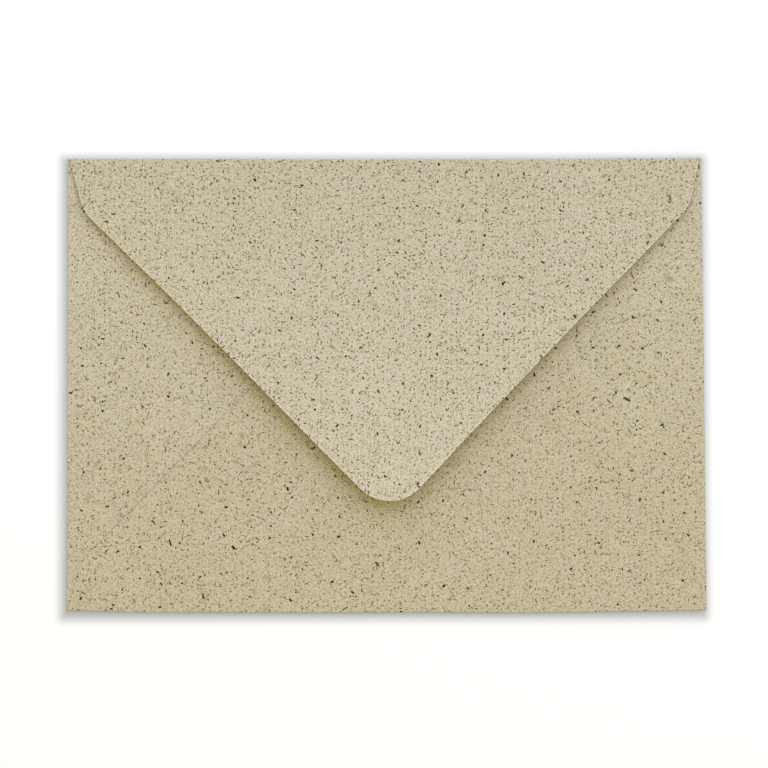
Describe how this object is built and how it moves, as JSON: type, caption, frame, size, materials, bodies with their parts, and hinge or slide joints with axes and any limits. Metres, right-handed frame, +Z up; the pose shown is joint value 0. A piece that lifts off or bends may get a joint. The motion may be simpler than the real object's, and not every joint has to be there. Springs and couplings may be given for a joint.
{
  "type": "envelope",
  "caption": "Flat paper envelope with a deep V seal flap on a crease, two glued side seams, a gum band and an open pocket behind its plain address side.",
  "frame": {"origin": "middle of the address side's outer face, which lies on the table", "axes": "+X along the long edge, +Y towards the seal flap's fold, +Z up through the pocket to the flap side"},
  "size_m": [0.176, 0.125, 0.0061],
  "materials": {
    "grass_paper": "matte",
    "seam_glue": "satin",
    "gum": "gloss"
  },
  "bodies": {
    "pocket": {"front_panel": "grass_paper", "left_side_flap": "grass_paper", "right_side_flap": "grass_paper", "bottom_flap": "grass_paper", "left_fold": "grass_paper", "right_fold": "grass_paper", "bottom_fold": "grass_paper", "top_fold": "grass_paper", "left_seam_glue": "seam_glue", "right_seam_glue": "seam_glue"},
    "flap": {"top_flap": "grass_paper", "seal_gum": "gum"}
  },
  "joints": [
    {"name": "flap_fold", "type": "hinge", "parent": "pocket", "child": "flap", "pos_m": [0, 0.06242, 0.00056], "axis": [-1, 0, 0], "range_deg": [-3, 177], "deforming": ["top_fold"]}
  ]
}
